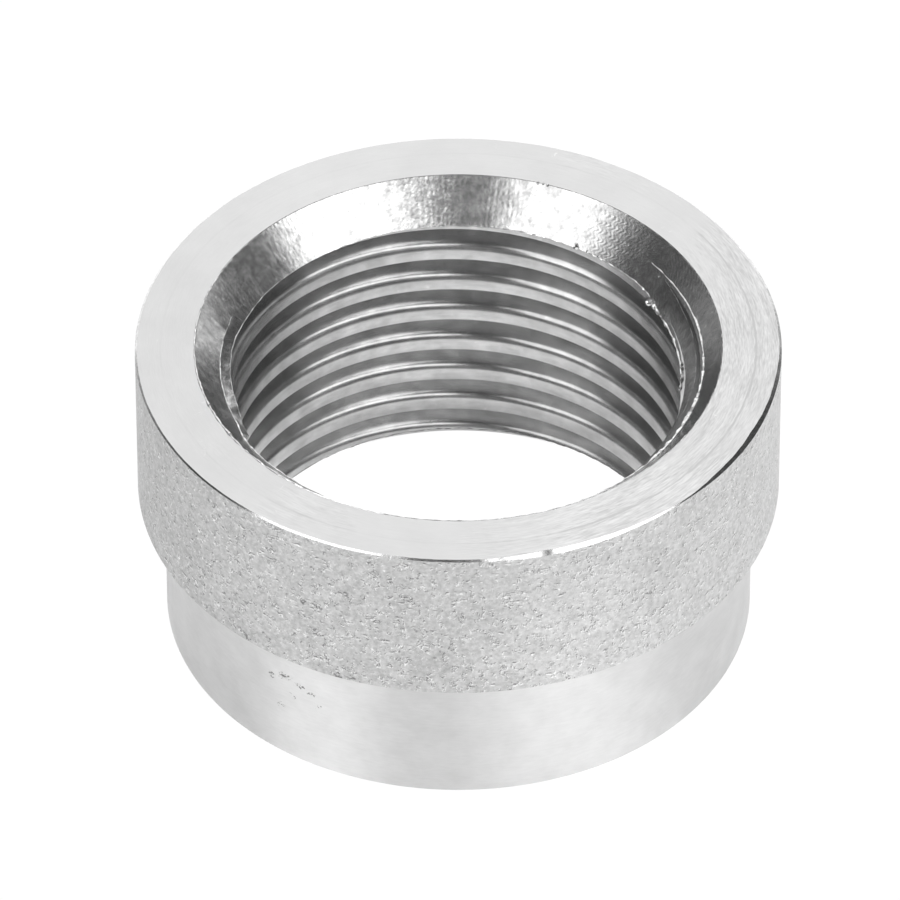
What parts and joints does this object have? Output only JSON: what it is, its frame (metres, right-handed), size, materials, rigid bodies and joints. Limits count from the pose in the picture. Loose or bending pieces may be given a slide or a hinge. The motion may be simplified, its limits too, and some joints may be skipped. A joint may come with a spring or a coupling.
{
  "type": "weld bung",
  "caption": "Stepped, turned steel ring with a threaded bore, welded over a hole in a pipe so that a sensor or plug can screw in.",
  "frame": {"origin": "on the axis, at the end face of the spigot", "axes": "+Z along the bore axis, from the spigot up to the flange face; +X to the right in the picture"},
  "size_m": [0.024, 0.024, 0.0124],
  "materials": {
    "stainless_steel": "turned, with a rough outer side on the flange"
  },
  "bodies": {
    "root": {"weld_bung": "stainless_steel"}
  },
  "joints": []
}
